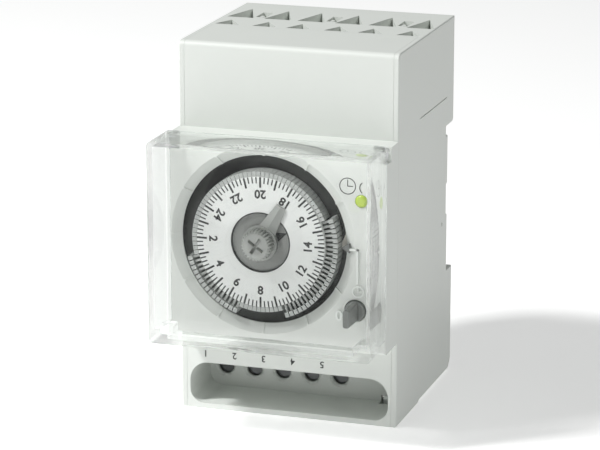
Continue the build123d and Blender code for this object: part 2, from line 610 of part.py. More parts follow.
MESH = GEAR_MODULE * (DIAL_TEETH + MOTION_PINION_TEETH) / 2
MOTION_X = DIAL_X + MESH
DISC_GAP = 0.5
DISC_THICK = 1.0
PINION_OVER = 0.1
MOTION_DISC_FRONT = DIAL_WHEEL_BACK + DISC_GAP
MOTION_DISC_BACK = MOTION_DISC_FRONT + DISC_THICK
MINUTE_FRONT = MOTION_DISC_BACK + DISC_GAP
MINUTE_BACK = MINUTE_FRONT + DISC_THICK
MOTOR_Z = DIAL_Z + GEAR_MODULE * (MINUTE_TEETH + MOTOR_TEETH) / 2
STUD_R = 0.9
STUD_COLLAR = 0.5
SPOKES = 5
WHEEL_HUB_R = 2.0
WHEEL_RIM = 2.4


def lighten(teeth, front, back, x, z, turn):
    """A ring of holes between a wheel's hub and rim, cut from the open part."""
    rim_r = GEAR_MODULE * teeth / 2
    with BuildSketch(facing(back, x, z)) as holes:
        with PolarLocations((rim_r + WHEEL_HUB_R) / 2, SPOKES, start_angle=turn):
            Circle((rim_r - WHEEL_HUB_R - 2 * WHEEL_RIM) / 2)
    extrude(holes.sketch, amount=back - front, mode=Mode.SUBTRACT)


with BuildPart() as dial_wheel:
    gear(DIAL_TEETH, DIAL_WHEEL_FRONT, DIAL_WHEEL_BACK, DIAL_X, DIAL_Z, 0)
    rod(WHEEL_BOSS_R, SKIRT_BACK, DIAL_WHEEL_FRONT, DIAL_X, DIAL_Z)
    rod(ARBOR_R + RUN_GAP, SKIRT_BACK - CUT, DIAL_WHEEL_BACK + CUT, DIAL_X, DIAL_Z, mode=Mode.SUBTRACT)
save(dial_wheel.part, "dial_wheel")

with BuildPart() as motion_wheel:
    gear(MOTION_PINION_TEETH, DIAL_WHEEL_FRONT + PINION_OVER, MOTION_DISC_FRONT, MOTION_X, DIAL_Z,
         180 + 180 / MOTION_PINION_TEETH)
    gear(MOTION_TEETH, MOTION_DISC_FRONT, MOTION_DISC_BACK, MOTION_X, DIAL_Z, 180)
    lighten(MOTION_TEETH, MOTION_DISC_FRONT, MOTION_DISC_BACK, MOTION_X, DIAL_Z, 36)
    rod(STUD_R + RUN_GAP, DIAL_WHEEL_FRONT - CUT, MOTION_DISC_BACK + CUT, MOTION_X, DIAL_Z,
        mode=Mode.SUBTRACT)
save(motion_wheel.part, "motion_wheel")

KNOB_BACK = PLATE_FRONT - 0.25
HAND_THICK = 0.7
KNOB_R = 3.75
KNOB_TALL = 2.7
KNOB_EDGE = 0.4
KNOB_RIBS = 30
RIB_PROUD = 0.3
RIB_WIDTH = 0.42
CROSS_TURNS = (57, 145)
CROSS_LONG = 4.4
CROSS_WIDE = 0.9
CROSS_DEPTH = 1.3
ARBOR_TAIL = 1.6

with BuildPart() as minute_arbor:
    rod(ARBOR_R, KNOB_BACK - HAND_THICK, CHASSIS_Y + ARBOR_TAIL, DIAL_X, DIAL_Z)
    gear(MINUTE_PINION_TEETH, MOTION_DISC_FRONT - PINION_OVER, MOTION_DISC_BACK + PINION_OVER, DIAL_X, DIAL_Z,
         180 / MINUTE_PINION_TEETH)
save(minute_arbor.part, "minute_arbor")

with BuildPart() as minute_wheel:
    gear(MINUTE_TEETH, MINUTE_FRONT, MINUTE_BACK, DIAL_X, DIAL_Z, 90)
    lighten(MINUTE_TEETH, MINUTE_FRONT, MINUTE_BACK, DIAL_X, DIAL_Z, 54)
    rod(ARBOR_R, MINUTE_FRONT - CUT, MINUTE_BACK + CUT, DIAL_X, DIAL_Z, mode=Mode.SUBTRACT)
save(minute_wheel.part, "minute_wheel")

HAND_ANGLE = 60.0
HAND_LENGTH = 10.6
HAND_WIDE = 2.7
HAND_TIP = 1.3
HAND_COLLAR = 0.55

with BuildPart() as minute_hand:
    with BuildSketch(facing(KNOB_BACK, DIAL_X, DIAL_Z)):
        Circle(KNOB_R + HAND_COLLAR)
        with BuildSketch(mode=Mode.PRIVATE) as blade:
            with BuildLine():
                Polyline((0, -HAND_WIDE), (HAND_LENGTH, -HAND_TIP), (HAND_LENGTH, HAND_TIP), (0, HAND_WIDE),
                         close=True)
            make_face()
        add(blade.sketch.rotate(Axis.Z, HAND_ANGLE))
        Circle(ARBOR_R, mode=Mode.SUBTRACT)
    extrude(amount=HAND_THICK)
save(minute_hand.part, "minute_hand")

HAND_FRONT = KNOB_BACK - HAND_THICK
knob_front = HAND_FRONT - KNOB_TALL
knob_core = KNOB_R - RIB_PROUD
with BuildPart() as setting_knob:
    rod(knob_core, knob_front, HAND_FRONT, DIAL_X, DIAL_Z)
    chamfer(setting_knob.edges().group_by(Axis.Y)[0], KNOB_EDGE)
    with BuildSketch(facing(HAND_FRONT, DIAL_X, DIAL_Z)):
        with PolarLocations(knob_core, KNOB_RIBS):
            Rectangle(2 * RIB_PROUD, RIB_WIDTH)
    extrude(amount=KNOB_TALL - KNOB_EDGE)
    for turn in CROSS_TURNS:
        with BuildSketch(facing(knob_front + CROSS_DEPTH, DIAL_X, DIAL_Z)):
            Rectangle(CROSS_LONG, CROSS_WIDE, rotation=turn)
        extrude(amount=CROSS_DEPTH + CUT, mode=Mode.SUBTRACT)
save(setting_knob.part, "setting_knob")

# ---------------------------------------------------------------- chassis and drive
MOTOR_R = 8.4
MOTOR_LONG = 5.6
MOTOR_WALL = 0.5
MOTOR_ROUND = 0.6
MOTOR_SHAFT_R = 0.5
MOTOR_BOSS_R = 1.5
ROTOR_R = 3.2
ROTOR_GAP = 0.4
END_GAP = 0.3
BUSH_R = 2.6
BUSH_OVER = 0.6
CLIP_R = 2.5
CLIP_THICK = 0.5
SCREW_HEAD_R = 1.7
SCREW_HEAD_TALL = 1.2
SCREW_BITE = 4.0
SELECTOR_STEM_R = 1.2
PLATE_ROUND = 1.5
SLOT_SPOTS = [(0, -14), (-17, -8), (-17, 8)]
MOTOR_BACK = CHASSIS_Y + MOTOR_LONG
plate_half_x = hood_half - BLOCK_WALL - 0.15
plate_half_z = boss_z + 1.6

with BuildPart() as chassis_plate:
    with BuildSketch(facing(CHASSIS_Y)):
        RectangleRounded(2 * plate_half_x, 2 * plate_half_z, PLATE_ROUND)
        with Locations((DIAL_X, DIAL_Z)):
            Circle(BUSH_R, mode=Mode.SUBTRACT)
        with Locations((DIAL_X, MOTOR_Z)):
            Circle(MOTOR_BOSS_R + RUN_GAP, mode=Mode.SUBTRACT)
        with Locations((MOTION_X, DIAL_Z)):
            Circle(STUD_R, mode=Mode.SUBTRACT)
        with Locations((LED_X, LED_Z)):
            Circle(LED_R + 0.3, mode=Mode.SUBTRACT)
        with Locations((SELECTOR_X, SELECTOR_Z)):
            Circle(SELECTOR_STEM_R + RUN_GAP, mode=Mode.SUBTRACT)
        with Locations(*bosses):
            Circle(SCREW_R, mode=Mode.SUBTRACT)
        with Locations(*SLOT_SPOTS):
            RectangleRounded(7, 5, 1, mode=Mode.SUBTRACT)
    extrude(amount=CHASSIS_THICK)
save(chassis_plate.part, "chassis_plate")

with BuildPart() as arbor_bush:
    rod(BUSH_R, CHASSIS_FRONT - BUSH_OVER, CHASSIS_Y + BUSH_OVER, DIAL_X, DIAL_Z)
    rod(ARBOR_R + RUN_GAP, CHASSIS_FRONT - CUT, CHASSIS_Y + CUT, DIAL_X, DIAL_Z, mode=Mode.SUBTRACT)
save(arbor_bush.part, "arbor_bush")

with BuildPart() as arbor_clip:
    clip_front = CHASSIS_Y + BUSH_OVER + 0.2
    rod(CLIP_R, clip_front, clip_front + CLIP_THICK, DIAL_X, DIAL_Z)
    rod(ARBOR_R, clip_front - CUT, clip_front + 2 * CUT, DIAL_X, DIAL_Z, mode=Mode.SUBTRACT)
save(arbor_clip.part, "arbor_clip")

with BuildPart() as motion_stud:
    rod(STUD_R, DIAL_WHEEL_FRONT + 0.2, CHASSIS_Y, MOTION_X, DIAL_Z)
    rod(STUD_R + STUD_COLLAR, MOTION_DISC_BACK + 0.2, CHASSIS_FRONT, MOTION_X, DIAL_Z)
save(motion_stud.part, "motion_stud")

with BuildPart() as plate_screws:
    for x, z in bosses:
        rod(SCREW_R, CHASSIS_FRONT - SCREW_BITE, CHASSIS_Y, x, z)
        rod(SCREW_HEAD_R, CHASSIS_Y, CHASSIS_Y + SCREW_HEAD_TALL, x, z)
save(plate_screws.part, "plate_screws")

with BuildPart() as motor_can:
    rod(MOTOR_R, CHASSIS_Y, MOTOR_BACK, DIAL_X, MOTOR_Z)
    fillet(motor_can.edges().group_by(Axis.Y)[-1], MOTOR_ROUND)
    rod(MOTOR_R - MOTOR_WALL, CHASSIS_Y + MOTOR_WALL, MOTOR_BACK - MOTOR_WALL, DIAL_X, MOTOR_Z,
        mode=Mode.SUBTRACT)
    rod(MOTOR_BOSS_R, CHASSIS_Y - CUT, CHASSIS_Y + CUT, DIAL_X, MOTOR_Z, mode=Mode.SUBTRACT)
    rod(MOTOR_SHAFT_R + RUN_GAP, MOTOR_BACK - CUT, MOTOR_BACK + CUT, DIAL_X, MOTOR_Z, mode=Mode.SUBTRACT)
save(motor_can.part, "motor_can")

with BuildPart() as motor_coil:
    coil_front = CHASSIS_Y + MOTOR_WALL + END_GAP
    coil_back = MOTOR_BACK - MOTOR_WALL - END_GAP
    rod(MOTOR_R - MOTOR_WALL - END_GAP, coil_front, coil_back, DIAL_X, MOTOR_Z)
    rod(ROTOR_R + ROTOR_GAP, CHASSIS_Y, MOTOR_BACK, DIAL_X, MOTOR_Z, mode=Mode.SUBTRACT)
save(motor_coil.part, "motor_coil")

with BuildPart() as motor_rotor:
    rod(ROTOR_R, coil_front + 0.1, coil_back - 0.1, DIAL_X, MOTOR_Z)
    rod(MOTOR_SHAFT_R, CHASSIS_Y, MOTOR_BACK, DIAL_X, MOTOR_Z, mode=Mode.SUBTRACT)
save(motor_rotor.part, "motor_rotor")

with BuildPart() as motor_pinion:
    rod(MOTOR_SHAFT_R, MINUTE_FRONT - PINION_OVER, MOTOR_BACK, DIAL_X, MOTOR_Z)
    gear(MOTOR_TEETH, MINUTE_FRONT - PINION_OVER, MINUTE_BACK + PINION_OVER, DIAL_X, MOTOR_Z,
         270 + 180 / MOTOR_TEETH)
save(motor_pinion.part, "motor_pinion")

# ---------------------------------------------------------------- selector
KNOB_PROUD = 0.9
SELECTOR_EDGE = 0.3
FIN_PROUD = 7.5
FIN_HALF = 0.85
FIN_EDGE = 0.5
CAM_GAP = 2.2
CAM_THICK = 2.0
CAM_R = 2.4
CAM_NOSE_R = 1.3
CAM_NOSE_Z = 1.6
SPRING_THICK = 0.3
SPRING_X = SELECTOR_X - 3.6
SPRING_FOOT = SELECTOR_Z - 3.6
CAM_FRONT = PANEL_BACK + CAM_GAP

with BuildPart() as selector_knob:
    rod(SELECTOR_R, PANEL_Y - KNOB_PROUD, PANEL_BACK, SELECTOR_X, SELECTOR_Z)
    fillet(selector_knob.edges().group_by(Axis.Y)[0], SELECTOR_EDGE)
    rod(SELECTOR_STEM_R, PANEL_BACK, CHASSIS_Y - END_GAP, SELECTOR_X, SELECTOR_Z)
    with BuildSketch(facing(PANEL_Y - KNOB_PROUD, SELECTOR_X, SELECTOR_Z)):
        RectangleRounded(2 * FIN_HALF, 2 * SELECTOR_R - 0.3, FIN_EDGE)
    with BuildSketch(facing(PANEL_Y - FIN_PROUD, SELECTOR_X, SELECTOR_Z)):
        RectangleRounded(1.8 * FIN_HALF, 2 * SELECTOR_R - 0.7, FIN_EDGE)
    loft()
save(selector_knob.part, "selector_knob")

with BuildPart() as selector_cam:
    with BuildSketch(facing(CAM_FRONT + CAM_THICK, SELECTOR_X, SELECTOR_Z)):
        Circle(CAM_R)
        with Locations((0, CAM_NOSE_Z)):
            Circle(CAM_NOSE_R)
        Circle(SELECTOR_STEM_R, mode=Mode.SUBTRACT)
    extrude(amount=CAM_THICK)
save(selector_cam.part, "selector_cam")

with BuildPart() as selector_detent:
    slab((SPRING_X, SPRING_X + SPRING_THICK), (CAM_FRONT, CAM_FRONT + CAM_THICK - 0.2),
         (SPRING_FOOT, SELECTOR_Z + 3.0))
    slab((SPRING_X, SPRING_X + 1.4), (CAM_FRONT, CHASSIS_FRONT), (SPRING_FOOT - 0.8, SPRING_FOOT))
save(selector_detent.part, "selector_detent")

# ---------------------------------------------------------------- feeler and microswitch
TOUCH_GAP = 0.12
LEVER_THICK = 1.0
FEELER_FRONT = PANEL_BACK + 0.25
FEELER_BACK = FEELER_FRONT + LEVER_THICK
FEELER_X = DIAL_X + BEZEL_INNER_R + 1.7
FEELER_Z = DIAL_Z + 6.5
NOSE_X = DIAL_X + SEGMENT_TIP + TOUCH_GAP
NOSE_HALF = 0.8
HUB_EYE_R = 1.7
PIVOT_R = 0.8
PIVOT_CLIP_R = 1.5
SWITCH_Y = CHASSIS_FRONT
SWITCH_DEEP = 5.2
SWITCH_LONG = 10.0
SWITCH_HALF = 3.0
SWITCH_WALL = 0.8
SWITCH_Z = DIAL_Z + 16.8
SWITCH_RIGHT = FEELER_X - 3.6
# the plunger's outer end is fixed to the lever's arm, so its guide hole leaves room for the arm's swing
PLUNGER_R = 0.7
SWING_GAP = 0.25
PLUNGER_OUT = 1.1
PLUNGER_IN = 2.4
PLUNGER_Y = SWITCH_Y - SWITCH_DEEP / 2
ARM_X = SWITCH_RIGHT + PLUNGER_OUT
ARM_THICK = 1.1
ARM_HALF = 1.2
LEAF_STEP = 1.5
LEAF_THICK = 0.4

with BuildPart() as feeler_lever:
    with BuildSketch(facing(FEELER_BACK)):
        with BuildLine():
            Polyline((NOSE_X, DIAL_Z - NOSE_HALF), (NOSE_X + 1.0, DIAL_Z - NOSE_HALF),
                     (FEELER_X + 1.0, FEELER_Z - 1.2), (FEELER_X + 0.75, FEELER_Z + 1.5),
                     (ARM_X + 1.3, SWITCH_Z + ARM_HALF), (ARM_X, SWITCH_Z + ARM_HALF),
                     (ARM_X, SWITCH_Z - 3.5),
                     (FEELER_X - 1.2, FEELER_Z + 1), (FEELER_X - 1.2, FEELER_Z - 1.2),
                     (NOSE_X, DIAL_Z + NOSE_HALF), close=True)
        make_face()
        with Locations((FEELER_X, FEELER_Z)):
            Circle(HUB_EYE_R)
            Circle(PIVOT_R + RUN_GAP, mode=Mode.SUBTRACT)
    extrude(amount=LEVER_THICK)
    slab((ARM_X, ARM_X + ARM_THICK), (FEELER_BACK, SWITCH_Y - 1.5),
         (SWITCH_Z - ARM_HALF, SWITCH_Z + ARM_HALF))
save(feeler_lever.part, "feeler_lever")

with BuildPart() as feeler_pivot:
    rod(PIVOT_R, PANEL_BACK, FEELER_BACK + 0.9, FEELER_X, FEELER_Z)
    rod(PIVOT_CLIP_R, FEELER_BACK + 0.2, FEELER_BACK + 0.7, FEELER_X, FEELER_Z)
save(feeler_pivot.part, "feeler_pivot")

with BuildPart() as microswitch_case:
    slab((SWITCH_RIGHT - SWITCH_LONG, SWITCH_RIGHT), (SWITCH_Y - SWITCH_DEEP, SWITCH_Y),
         (SWITCH_Z - SWITCH_HALF, SWITCH_Z + SWITCH_HALF))
    slab((SWITCH_RIGHT - SWITCH_LONG + SWITCH_WALL, SWITCH_RIGHT - SWITCH_WALL),
         (SWITCH_Y - SWITCH_DEEP + SWITCH_WALL, SWITCH_Y - SWITCH_WALL),
         (SWITCH_Z - SWITCH_HALF + SWITCH_WALL, SWITCH_Z + SWITCH_HALF - SWITCH_WALL), mode=Mode.SUBTRACT)
    with Locations(Location((SWITCH_RIGHT, PLUNGER_Y, SWITCH_Z), (0, 90, 0))):
        Cylinder(PLUNGER_R + SWING_GAP, 4, mode=Mode.SUBTRACT)
save(microswitch_case.part, "microswitch_case")

with BuildPart() as microswitch_plunger:
    middle = SWITCH_RIGHT + (PLUNGER_OUT - PLUNGER_IN) / 2
    with Locations(Location((middle, PLUNGER_Y, SWITCH_Z), (0, 90, 0))):
        Cylinder(PLUNGER_R, PLUNGER_OUT + PLUNGER_IN)
save(microswitch_plunger.part, "microswitch_plunger")

with BuildPart() as microswitch_contacts:
    for step in range(3):
        left = SWITCH_RIGHT - SWITCH_LONG + 1.0 + LEAF_STEP * step
        slab((left, left + LEAF_THICK), (SWITCH_Y - 3.4, SWITCH_Y - SWITCH_WALL),
             (SWITCH_Z - 1.5, SWITCH_Z + 1.5))
save(microswitch_contacts.part, "microswitch_contacts")

# ---------------------------------------------------------------- lamp and circuit board
PIPE_PROUD = 0.5
PIPE_DOME = 0.7
LED_DOME = 1.2
BOARD_HALF_X = hood_half - 1.65
BOARD_HALF_Z = 22.0
BOARD_ROUND = 1.0
POST_X = BOARD_HALF_X - 3.0
POST_Z = 16.0
POST_R = 1.6
POST_PEG_R = 0.8
BATTERY_R = 5.6
BATTERY_LONG = 16.0
BATTERY_SPOT = (-11, 9)
CAPACITOR = ((4, 17), (4, 10))
CAPACITOR_TALL = 11.0
CRYSTAL_SPOT = (-12, -6)
CRYSTAL_TALL = 2.6
CHIP = ((2, 12), (-11, -5))
CHIP_TALL = 1.8

with BuildPart() as light_pipe:
    rod(LED_R, PANEL_Y - PIPE_PROUD, CHASSIS_Y + 1.5, LED_X, LED_Z)
    fillet(light_pipe.edges().group_by(Axis.Y)[0], PIPE_DOME)
save(light_pipe.part, "light_pipe")

with BuildPart() as status_led:
    rod(LED_R, CHASSIS_Y + 2.0, BOARD_FRONT, LED_X, LED_Z)
    fillet(status_led.edges().group_by(Axis.Y)[0], LED_DOME)
save(status_led.part, "status_led")

with BuildPart() as circuit_board:
    with BuildSketch(facing(BOARD_Y)):
        RectangleRounded(2 * BOARD_HALF_X, 2 * BOARD_HALF_Z, BOARD_ROUND)
        with GridLocations(2 * POST_X, 2 * POST_Z, 2, 2):
            Circle(POST_PEG_R, mode=Mode.SUBTRACT)
    extrude(amount=BOARD_THICK)
save(circuit_board.part, "circuit_board")

with BuildPart() as board_posts:
    for x in (-POST_X, POST_X):
        for z in (-POST_Z, POST_Z):
            rod(POST_R, CHASSIS_Y, BOARD_FRONT, x, z)
            rod(POST_PEG_R, BOARD_FRONT, BOARD_Y + POST_PEG_R, x, z)
save(board_posts.part, "board_posts")

with BuildPart() as reserve_battery:
    x, z = BATTERY_SPOT
    with Locations(Location((x, BOARD_Y + BATTERY_R + 0.4, z), (0, 90, 0))):
        Cylinder(BATTERY_R, BATTERY_LONG)
    fillet(reserve_battery.edges(), 0.6)
save(reserve_battery.part, "reserve_battery")

with BuildPart() as power_capacitor:
    x_span, z_span = CAPACITOR
    slab(x_span, (BOARD_Y, BOARD_Y + CAPACITOR_TALL), z_span)
    fillet(power_capacitor.edges().filter_by(Axis.Y), 0.6)
save(power_capacitor.part, "power_capacitor")

with BuildPart() as quartz_crystal:
    with BuildSketch(facing(BOARD_Y + CRYSTAL_TALL)):
        with Locations(CRYSTAL_SPOT):
            SlotOverall(8.0, 3.4)
    extrude(amount=CRYSTAL_TALL)
save(quartz_crystal.part, "quartz_crystal")

with BuildPart() as controller_chip:
    x_span, z_span = CHIP
    slab(x_span, (BOARD_Y, BOARD_Y + CHIP_TALL), z_span)
    chamfer(controller_chip.faces().sort_by(Axis.Y)[-1].edges(), 0.3)
save(controller_chip.part, "controller_chip")

# ---------------------------------------------------------------- terminals
CLAMP_HALF = 2.7
CLAMP_WALL = 0.6
CLAMP_ROOF = 0.8
CLAMP_FRONT = POCKET_BACK + POCKET_WALL + 1.6
CLAMP_NUT = WIRE_Y - 3.6
CLAMP_BACK = WIRE_Y + 7.0
CLAMP_TOP = TERMINAL_Z + 3.0
CLAMP_FLOOR = BOTTOM + FLOOR_WALL
CLAMP_SCREW_R = 1.2
CLAMP_HEAD_R = 1.8
CLAMP_HEAD_TALL = 1.0
SLOT_WIDTH = 0.5
SLOT_SUNK = 0.5
BAR_HALF = 1.4
TAIL_HALF = 1.0
BAR_THICK = 0.8
BAR_TOP = -24.0

with BuildPart() as terminal_clamps:
    for x in TERMINAL_ROW:
        slab((x - CLAMP_HALF, x + CLAMP_HALF), (CLAMP_FRONT, CLAMP_BACK), (CLAMP_FLOOR, CLAMP_TOP))
        slab((x - CLAMP_HALF + CLAMP_WALL, x + CLAMP_HALF - CLAMP_WALL), (CLAMP_NUT, CLAMP_BACK - CLAMP_ROOF),
             (CLAMP_FLOOR - CUT, CLAMP_TOP - CLAMP_ROOF), mode=Mode.SUBTRACT)
        rod(CLAMP_SCREW_R, CLAMP_FRONT - CUT, CLAMP_NUT + CUT, x, TERMINAL_Z, mode=Mode.SUBTRACT)
save(terminal_clamps.part, "terminal_clamps")

with BuildPart() as terminal_screws:
    for x in TERMINAL_ROW:
        rod(CLAMP_HEAD_R, CLAMP_FRONT - CLAMP_HEAD_TALL, CLAMP_FRONT, x, TERMINAL_Z)
        rod(CLAMP_SCREW_R, CLAMP_FRONT, CLAMP_NUT + 1.2, x, TERMINAL_Z)
        slab((x - CLAMP_HEAD_R, x + CLAMP_HEAD_R),
             (CLAMP_FRONT - 2 * CLAMP_HEAD_TALL, CLAMP_FRONT - CLAMP_HEAD_TALL + SLOT_SUNK),
             (TERMINAL_Z - SLOT_WIDTH / 2, TERMINAL_Z + SLOT_WIDTH / 2), mode=Mode.SUBTRACT)
save(terminal_screws.part, "terminal_screws")

with BuildPart() as terminal_bars:
    for x in TERMINAL_ROW:
        slab((x - BAR_HALF, x + BAR_HALF), (CLAMP_BACK - 2 * BAR_THICK, CLAMP_BACK - BAR_THICK),
             (CLAMP_FLOOR + 0.4, CLAMP_TOP - CLAMP_ROOF))
        slab((x - TAIL_HALF, x + TAIL_HALF), (CLAMP_BACK, CLAMP_BACK + BAR_THICK), (CLAMP_TOP - 3, BAR_TOP))
        slab((x - TAIL_HALF, x + TAIL_HALF), (BOARD_Y, CLAMP_BACK + BAR_THICK),
             (BAR_TOP - BAR_THICK, BAR_TOP))
save(terminal_bars.part, "terminal_bars")

# ---------------------------------------------------------------- time marker
MARKER_GAP = 0.35
MARKER_LENGTH = 2.1
MARKER_HALF = 1.15
MARKER_TALL = 0.9
marker_in = SEGMENT_TIP + MARKER_GAP
marker_out = marker_in + MARKER_LENGTH
marker_depth = (BEZEL_OUTER_R - marker_out) / BEZEL_WIDTH * BEZEL_DEPTH

with BuildPart() as time_marker:
    with BuildSketch(facing(PANEL_Y + marker_depth - 0.01, DIAL_X, DIAL_Z)):
        with BuildLine():
            Polyline((marker_in, 0), (marker_out, MARKER_HALF), (marker_out, -MARKER_HALF), close=True)
        make_face()
    extrude(amount=MARKER_TALL)
save(time_marker.part, "time_marker")
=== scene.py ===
# %% [markdown]
# # A day timer for a mounting rail
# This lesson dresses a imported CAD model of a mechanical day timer: a grey housing, a dial with captive
# segments, a small lamp, a selector and a clear hinged cover. The CAD parts are the frame, and they never
# move. Every new piece is placed from the frame's own boxes, so the looks and the mechanism stay together.

# %% Load the frame
from math import atan2, cos, hypot, pi, radians, sin

import bpy
from mathutils import Matrix, Vector


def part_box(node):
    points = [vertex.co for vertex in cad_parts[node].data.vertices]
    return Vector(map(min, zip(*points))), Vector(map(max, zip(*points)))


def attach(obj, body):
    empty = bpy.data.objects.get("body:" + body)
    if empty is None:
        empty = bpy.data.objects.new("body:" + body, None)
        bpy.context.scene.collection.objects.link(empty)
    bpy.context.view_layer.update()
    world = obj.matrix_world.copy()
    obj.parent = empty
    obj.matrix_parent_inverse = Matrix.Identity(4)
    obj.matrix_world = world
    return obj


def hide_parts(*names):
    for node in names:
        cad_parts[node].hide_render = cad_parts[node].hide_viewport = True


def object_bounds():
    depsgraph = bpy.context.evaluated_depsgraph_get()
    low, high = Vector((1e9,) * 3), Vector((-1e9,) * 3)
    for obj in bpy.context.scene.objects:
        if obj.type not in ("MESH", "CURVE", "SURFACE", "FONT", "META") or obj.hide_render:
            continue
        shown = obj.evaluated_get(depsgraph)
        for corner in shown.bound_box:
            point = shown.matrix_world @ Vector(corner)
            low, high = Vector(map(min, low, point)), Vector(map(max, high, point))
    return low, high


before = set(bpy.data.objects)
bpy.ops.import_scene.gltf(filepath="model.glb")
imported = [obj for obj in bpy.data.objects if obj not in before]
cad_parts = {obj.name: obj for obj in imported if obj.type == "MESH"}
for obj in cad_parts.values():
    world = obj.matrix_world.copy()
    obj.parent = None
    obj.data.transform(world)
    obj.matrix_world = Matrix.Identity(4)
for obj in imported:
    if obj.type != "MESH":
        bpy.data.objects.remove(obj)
cad_low, cad_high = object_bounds()
print("CAD box in mm:", [round(1000 * v, 1) for v in (*cad_low, *cad_high)])

MM = 0.001
SEGMENTS = 96
PITCH = 2 * pi / SEGMENTS

# %% [markdown]
# ## Places that everything else hangs on
# The dial's middle, the panel's face and the places of the hand and knob all come from the frame. A value
# that is read once here can be used by every piece, which is how a maker works from datum faces.

# %% Datum faces and the dial's middle
plate_low, plate_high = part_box("dial_plate")
hub_low, hub_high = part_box("hub_disc")
dial_x = (plate_low.x + plate_high.x) / 2
dial_z = (plate_low.z + plate_high.z) / 2
plate_radius = (plate_high.x - plate_low.x) / 2
hub_radius = (hub_high.x - hub_low.x) / 2
plate_face = plate_low.y
hub_face = hub_low.y
panel_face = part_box("front_hood")[0].y
shoulder_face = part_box("base_housing")[0].y
knob_low, knob_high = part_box("setting_knob")
hand_low, hand_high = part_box("minute_hand")
print("dial middle in mm:", round(dial_x / MM, 2), round(dial_z / MM, 2))
print("plate radius in mm:", round(plate_radius / MM, 2))

# %% [markdown]
# ## Small tools for shaping
# Each tool does what a modeller does by hand: deselect all, add a primitive at its size and place, shape it,
# and apply its place so that the object sits at the origin. Turning a piece in its mesh rather than on its
# object keeps patterns on Object coordinates still.

# %% Shaping tools
def only(piece):
    """Select one piece alone and make it active."""
    bpy.ops.object.select_all(action="DESELECT")
    piece.select_set(True)
    bpy.context.view_layer.objects.active = piece
    return piece


def settle(piece):
    """Put a piece's place, turn and scale into its mesh."""
    only(piece)
    bpy.ops.object.transform_apply(location=True, rotation=True, scale=True)
    return piece


def block(name, low, high):
    """A box between two corners."""
    bpy.ops.object.select_all(action="DESELECT")
    bpy.ops.mesh.primitive_cube_add(size=1, location=(Vector(low) + Vector(high)) / 2)
    piece = bpy.context.object
    piece.name = piece.data.name = name
    piece.scale = Vector(high) - Vector(low)
    return settle(piece)


def rod(name, radius, front, back, x, z, sides=64):
    """A round rod along the depth, between its front and back faces."""
    bpy.ops.object.select_all(action="DESELECT")
    bpy.ops.mesh.primitive_cylinder_add(vertices=sides, radius=radius, depth=back - front,
                                        location=(x, (front + back) / 2, z), rotation=(pi / 2, 0, 0))
    piece = bpy.context.object
    piece.name = piece.data.name = name
    return settle(piece)


def apply_modifier(piece, kind, **settings):
    """Add a modifier with its settings and apply it."""
    only(piece)
    modifier = piece.modifiers.new(kind.title(), kind)
    for key, value in settings.items():
        setattr(modifier, key, value)
    bpy.ops.object.modifier_apply(modifier=modifier.name)
    return piece


def soften(piece, width, steps=3, angle=35):
    """Round the hard edges of a piece."""
    return apply_modifier(piece, "BEVEL", width=width, segments=steps, limit_method="ANGLE",
                          angle_limit=radians(angle), harden_normals=False)


def smooth(piece, angle=35):
    """Shade smooth, with hard edges kept."""
    only(piece)
    bpy.ops.object.shade_smooth_by_angle(angle=radians(angle))
    return piece


def join(name, pieces):
    """Make one object of several."""
    bpy.ops.object.select_all(action="DESELECT")
    for piece in pieces:
        piece.select_set(True)
    bpy.context.view_layer.objects.active = pieces[0]
    if len(pieces) > 1:
        bpy.ops.object.join()
    pieces[0].name = pieces[0].data.name = name
    return pieces[0]


def pick_faces(piece, wanted):
    """Select the faces that pass a test, and leave the piece in edit mode."""
    only(piece)
    bpy.ops.object.mode_set(mode="EDIT")
    bpy.ops.mesh.select_mode(type="FACE")
    bpy.ops.mesh.select_all(action="DESELECT")
    bpy.ops.object.mode_set(mode="OBJECT")
    for face in piece.data.polygons:
        face.select = wanted(face)
    bpy.ops.object.mode_set(mode="EDIT")
    return piece


def ring(name, inner, outer, front, back, x, z, sides=96):
    """A flat ring: a rod whose two ends are inset, opened and bridged."""
    piece = pick_faces(rod(name, outer, front, back, x, z, sides), lambda face: abs(face.normal.y) > 0.9)
    bpy.ops.mesh.inset(thickness=outer - inner)
    bpy.ops.mesh.delete(type="FACE")
    bpy.ops.mesh.select_mode(type="EDGE")
    bpy.ops.mesh.select_non_manifold()
    bpy.ops.mesh.bridge_edge_loops()
    bpy.ops.object.mode_set(mode="OBJECT")
    return outward(piece)


def turn_about(piece, x, z, angle):
    """Turn a mesh about a line along the depth, anticlockwise seen from the front."""
    piece.data.transform(Matrix.Translation((x, 0, z)) @ Matrix.Rotation(-angle, 4, "Y")
                         @ Matrix.Translation((-x, 0, -z)))
    return piece


def cut(piece, tools):
    """Cut each tool from a piece, and remove the tools."""
    for tool in tools:
        apply_modifier(piece, "BOOLEAN", operation="DIFFERENCE", solver="EXACT", object=tool)
        bpy.data.objects.remove(tool)
    return piece


def outward(piece):
    """Merge doubles and turn every face outwards."""
    only(piece)
    bpy.ops.object.mode_set(mode="EDIT")
    bpy.ops.mesh.select_all(action="SELECT")
    bpy.ops.mesh.remove_doubles(threshold=1e-7)
    bpy.ops.mesh.normals_make_consistent(inside=False)
    bpy.ops.object.mode_set(mode="OBJECT")
    return piece


def hand_over(piece, body, material, stands_for=()):
    """Give a finished piece its body and material, and hide the CAD nodes that it stands for."""
    piece.data.materials.clear()
    piece.data.materials.append(material)
    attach(piece, body)
    if stands_for:
        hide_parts(*stands_for)
    print(f"{piece.name}: {len(piece.data.polygons)} faces on {body}")

